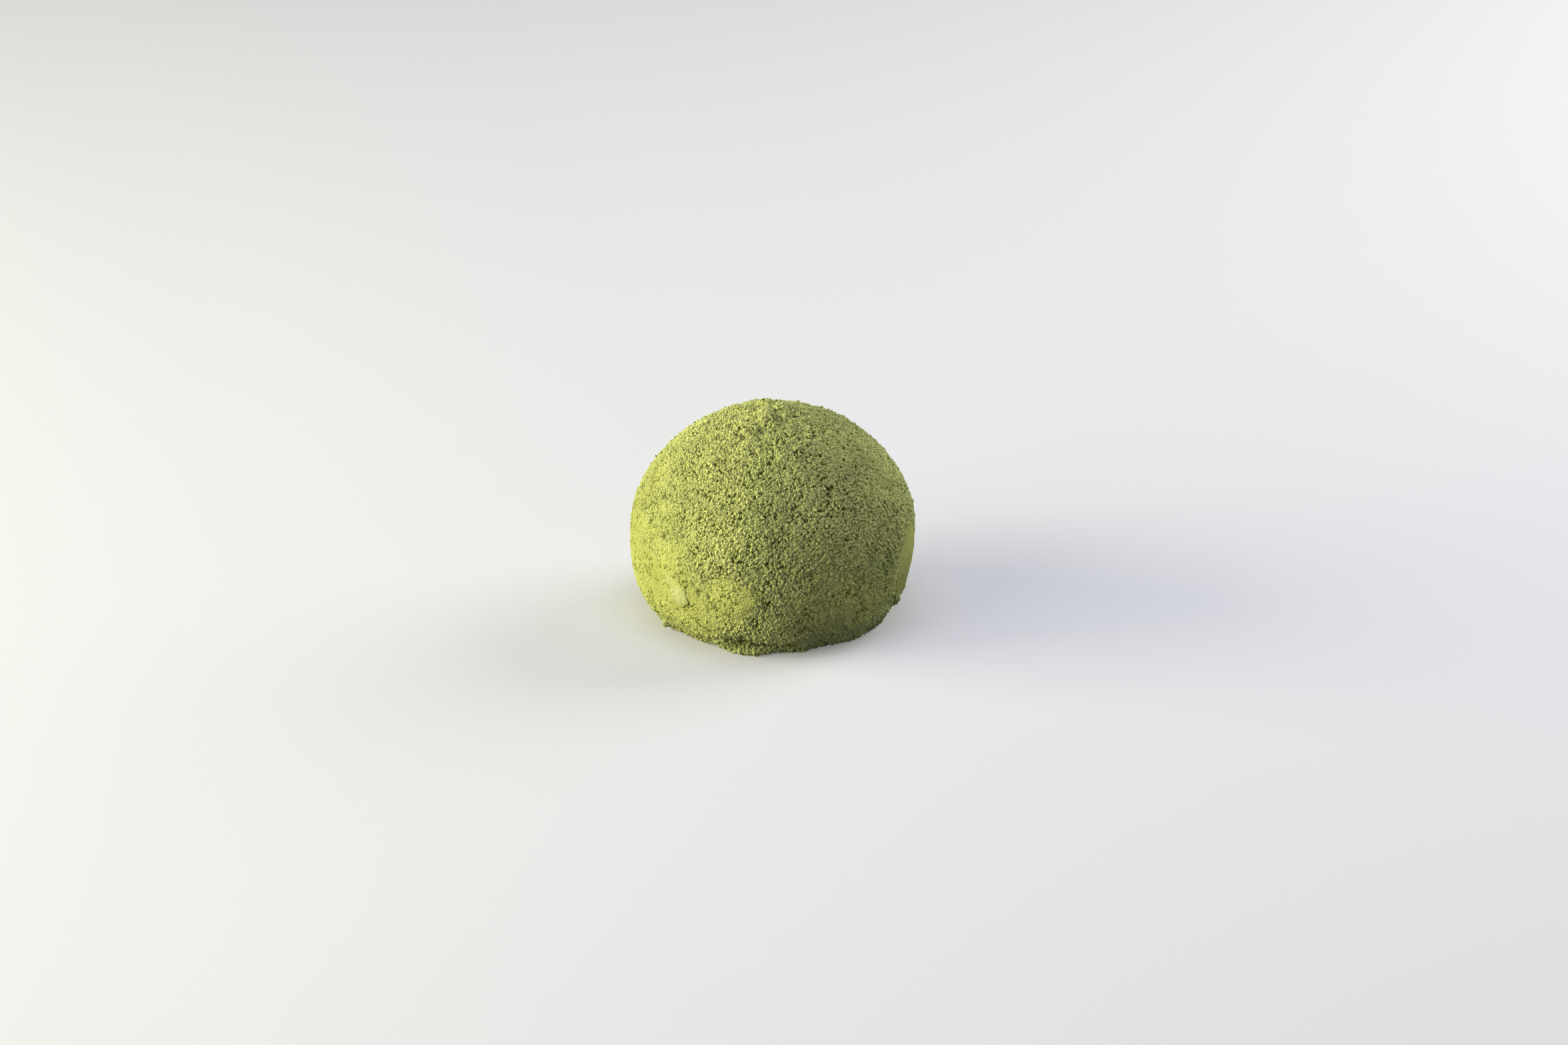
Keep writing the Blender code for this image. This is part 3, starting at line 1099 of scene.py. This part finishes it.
@dataclass
class PowderCoat:
    """The powder over the whole ball: six pieces that meet edge to edge, and the loose grains."""

    body: bpy.types.Object
    material: bpy.types.Material
    net: Net = field(default_factory=Net)
    plan: CoatPlan = field(default_factory=CoatPlan)
    sizes: ReliefSizes = field(default_factory=ReliefSizes)
    centre: tuple[float, float, float] = (0.0, 0.0, 16.8 * MM)

    def _smooth_body(self) -> BVHTree:
        """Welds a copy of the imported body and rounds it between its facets.

        Returns:
            The rounded body, to be looked up.
        """
        mesh = self.body.data.copy()
        work = bmesh.new()
        work.from_mesh(mesh)
        bmesh.ops.remove_doubles(work, verts=work.verts[:], dist=1e-6)
        work.to_mesh(mesh)
        work.free()
        carrier = put("body_for_coat", mesh)
        rounded = carrier.modifiers.new("round", "SUBSURF")
        rounded.levels = rounded.render_levels = 2
        tree = BVHTree.FromObject(carrier, bpy.context.evaluated_depsgraph_get())
        bpy.data.objects.remove(carrier, do_unlink=True)
        return tree

    def build(self) -> list[bpy.types.Object]:
        """Builds the coat's pieces.

        Returns:
            The pieces.
        """
        body, start = self._smooth_body(), Vector(self.centre)
        points = np.array([body.ray_cast(start, Vector(way))[0] for way in self.net.directions])
        LOG.info("net laid: %d points", len(points))
        layers = self.plan.layers(Ball(points))
        mesh = new_mesh("coat_net", points, [f for faces in self.net.faces.values() for f in faces])
        store(mesh, layers)
        carrier = put("coat_net", mesh)
        sizes = titled(self.sizes)
        raised = PowderRelief("powder_relief", sizes).run(carrier, sizes, self.material)
        bpy.data.objects.remove(carrier, do_unlink=True)
        place = np.empty(len(points) * 3, np.float32)
        raised.vertices.foreach_get("co", place)
        place = place.reshape(-1, 3).astype(float)
        place[:, 2] = np.maximum(place[:, 2], 0.0)
        tones = {name: np.empty(len(points), np.float32) for name in ("relief", "calm", "pale", "deep")}
        for name, values in tones.items():
            raised.attributes[name].data.foreach_get("value", values)
        LOG.info("relief raised")
        pieces = [self._piece(name, faces, place, tones) for name, faces in self.net.faces.items()]
        return pieces + self._grains(raised, place[:, 2], tones, layers["lumpy"])

    def _grains(
        self, mesh: bpy.types.Mesh, height: np.ndarray, tones: Layers, lumpy: np.ndarray
    ) -> list[bpy.types.Object]:
        """Lays the loose grains: most where the coat is fluffy, none under the foot.

        Args:
            mesh: The raised net.
            height: Each point's height above the floor.
            tones: The tones of its points.
            lumpy: How lumpy it is at each point.

        Returns:
            The grains, one piece for each kind.
        """
        clear = smooth_step(0.15 * MM, 0.5 * MM, height)
        fluffy = 1.0 - smooth_step(0.15, 0.7, tones["calm"])
        high = smooth_step(0.15, 0.45, tones["relief"])
        clumped = smooth_step(0.9, 1.4, lumpy)
        rooms = {Room.FLUFFY: clear * fluffy * high, Room.LUMPY: clear * fluffy * clumped}
        store(mesh, {room.value: values for room, values in rooms.items()})
        ground = put("grain_ground", mesh)
        example = {name: value for name, value in GRAIN_KINDS[0].named().items() if name != "Name"}
        tree = LooseGrains("loose_grains", example)
        pieces = [tree.piece(ground, kind, self.material) for kind in GRAIN_KINDS]
        bpy.data.objects.remove(ground, do_unlink=True)
        return pieces

    @staticmethod
    def _lay_map(mesh: bpy.types.Mesh, flat: np.ndarray, walls: int) -> None:
        """Gives a piece its map: the outside fills most of the square, the walls a strip at the top.

        Args:
            mesh: The piece's mesh, its walls last, three corners each.
            flat: Each outside point's place on the map, from 0 to 1.
            walls: How many walls there are.
        """
        point = np.empty(len(mesh.loops), np.int32)
        mesh.loops.foreach_get("vertex_index", point)
        outside = len(point) - 3 * walls
        place = np.empty((len(point), 2))
        place[:outside] = flat[point[:outside]] * (0.998, 0.97) + (0.001, 0.001)
        corner = np.arange(3 * walls)
        place[outside:, 0] = (corner // 3 + 0.5 * (corner % 3)) / (walls + 1.0)
        place[outside:, 1] = np.where(corner % 3 == 1, 0.999, 0.975)
        layer = mesh.uv_layers.new(name=MAP)
        layer.data.foreach_set("uv", place.astype(np.float32).ravel())

    def _piece(
        self, name: str, faces: Faces, place: np.ndarray, tones: Layers
    ) -> bpy.types.Object:
        """Makes one piece of the coat, closed by walls that run to the ball's middle.

        Args:
            name: The piece's name.
            faces: Its faces, as numbers of the net's points.
            place: Where all the net's points are.
            tones: The tones of all the net's points.

        Returns:
            The piece.
        """
        used = np.unique([v for f in faces for v in f])
        local = np.full(len(place), -1)
        local[used] = np.arange(len(used))
        local = local.tolist()
        outer = [tuple(local[v] for v in f) for f in faces]
        open_edges = {}
        for f in outer:
            for a, b in zip(f, f[1:] + f[:1]):
                if open_edges.pop((b, a), None) is None:
                    open_edges[(a, b)] = True
        walls = [(b, a, len(used)) for a, b in open_edges]
        mesh = new_mesh(name, np.concatenate([place[used], [self.centre]]), outer + walls)
        self._lay_map(mesh, self.net.flat(name, used), len(walls))
        mesh.polygons.foreach_set("use_smooth", np.arange(len(mesh.polygons)) < len(outer))
        rim = {frozenset(edge) for edge in open_edges}
        sharp = np.array([frozenset(edge.vertices) in rim for edge in mesh.edges])
        mesh.attributes.new("sharp_edge", "BOOLEAN", "EDGE").data.foreach_set("value", sharp)
        store(mesh, {key: np.append(values[used], 0.0) for key, values in tones.items()})
        mesh.materials.append(self.material)
        LOG.info("%s: %d faces", name, len(outer))
        return put(name, mesh)


@dataclass(frozen=True)
class SoftLamp:
    """A square soft light aimed at the cake. Metres and watts."""

    name: str
    azimuth: float
    elevation: float
    power: float
    colour: Colour
    distance: float = 0.8
    size: float = 0.55
    aim_level: float = 0.02

    def build(self) -> None:
        """Puts the light in the scene."""
        data = bpy.data.lights.new(self.name, "AREA")
        data.shape = "SQUARE"
        data.size = self.size
        data.energy = self.power
        data.color = self.colour
        turn, rise = math.radians(self.azimuth), math.radians(self.elevation)
        flat = math.cos(rise)
        away = Vector((math.sin(turn) * flat, -math.cos(turn) * flat, math.sin(rise)))
        lamp = put(self.name, data)
        lamp.location = away * self.distance + Vector((0.0, 0.0, self.aim_level))
        lamp.rotation_euler = away.to_track_quat("Z", "Y").to_euler()


@dataclass
class Studio:
    """A pale floor, a large soft light low on the left, a pale room, and the camera."""

    lamps: tuple[SoftLamp, ...] = (
        SoftLamp("key_light", -89.0, 9.0, 15.4, (1.01, 0.985, 0.70)),
        SoftLamp("fill_light", -60.0, 20.0, 4.3, (0.98, 0.985, 0.98)),
        SoftLamp("back_light", 120.0, 24.0, 6.8, (0.95, 0.98, 1.06)),
        SoftLamp("top_light", 0.0, 88.0, 2.0, (0.96, 0.975, 1.50)),
    )
    floor_half: float = 1.0
    floor_seen: Colour = (0.452, 0.45, 0.408, 1.0)
    floor_glow: float = 0.40
    floor_bounce: Colour = (0.20, 0.20, 0.27, 1.0)
    room_colour: Colour = (0.93, 0.96, 1.58, 1.0)
    room_light: float = 0.20
    room_seen_colour: Colour = (0.97, 0.98, 1.0, 1.0)
    room_seen: float = 0.86
    camera_elevation: float = 23.0
    camera_distance: float = 0.847
    lens: float = 100.0
    aim: Pair = (2.14, -0.35)
    target_level: float = 18.0

    @staticmethod
    def _split_by_eye(end: str, light: Wire, seen: Wire) -> None:
        """Shows one shader to the camera and another to the light that bounces.

        Args:
            end: The name of the tree's output node.
            light: The shader for the light.
            seen: The shader for the camera.
        """
        draw = light.draw
        eye = draw.node("ShaderNodeLightPath")["Is Camera Ray"]
        mixed = draw.node("ShaderNodeMixShader", {0: eye, 1: light, 2: seen})
        draw.feed(draw.tree.nodes[end].inputs["Surface"], mixed[0])

    def _floor(self) -> None:
        """The floor: pale to the eye, with little bounce under the cake."""
        half = self.floor_half
        corners = ((-half, -half, 0.0), (half, -half, 0.0), (half, half, 0.0), (-half, half, 0.0))
        mesh = new_mesh("floor", np.array(corners), [(0, 1, 2, 3)])
        material = bpy.data.materials.new("pale_floor")
        material.use_nodes = True
        tree = material.node_tree
        tree.nodes.remove(tree.nodes["Principled BSDF"])
        draw = Sketch(tree)
        plain = draw.node("ShaderNodeBsdfDiffuse", {"Color": self.floor_seen})[0]
        shine = {"Color": self.floor_seen, "Strength": self.floor_glow}
        glow = draw.node("ShaderNodeEmission", shine)[0]
        pale = draw.node("ShaderNodeAddShader", {0: plain, 1: glow})[0]
        dull = draw.node("ShaderNodeBsdfDiffuse", {"Color": self.floor_bounce})[0]
        self._split_by_eye("Material Output", dull, pale)
        mesh.materials.append(material)
        floor = put("floor", mesh)

    def _room(self) -> None:
        """The room's even light."""
        world = bpy.data.worlds.new("room")
        world.use_nodes = True
        tree = world.node_tree
        draw = Sketch(tree)
        light = tree.nodes["Background"]
        light.inputs["Color"].default_value = self.room_colour
        light.inputs["Strength"].default_value = self.room_light
        shine = {"Color": self.room_seen_colour, "Strength": self.room_seen}
        seen = draw.node("ShaderNodeBackground", shine)[0]
        self._split_by_eye("World Output", Wire(draw, light.outputs[0]), seen)
        bpy.context.scene.world = world

    def _camera(self) -> None:
        """The camera, in front and above."""
        rise = math.radians(self.camera_elevation)
        ahead = Vector((0.0, math.cos(rise), -math.sin(rise)))
        up = Vector((0.0, math.sin(rise), math.cos(rise)))
        target = Vector((0.0, 0.0, self.target_level * MM))
        place = target - ahead * self.camera_distance
        aim = target + Vector((self.aim[0] * MM, 0.0, 0.0)) + up * self.aim[1] * MM
        data = bpy.data.cameras.new("camera")
        data.lens = self.lens
        data.sensor_width = 36.0
        data.clip_start = 0.05
        data.clip_end = 50.0
        camera = put("camera", data)
        camera.location = place
        camera.rotation_euler = (aim - place).to_track_quat("-Z", "Y").to_euler()
        bpy.context.scene.camera = camera

    def build(self) -> None:
        """Sets up floor, room, lights and camera."""
        self._floor()
        self._room()
        for lamp in self.lamps:
            lamp.build()
        self._camera()
        bpy.context.scene.view_settings.view_transform = "Standard"


def main() -> None:
    """Builds the cake and its studio, in order."""
    logging.basicConfig(level=logging.INFO, format="%(name)s: %(message)s")
    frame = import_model()
    coat = PowderCoat(frame["nodes"][NODE], PowderFinish().material())
    for piece in coat.build():
        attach(piece, BODY)
        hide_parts(NODE)
    Studio().build()


if __name__ == "__main__":
    main()
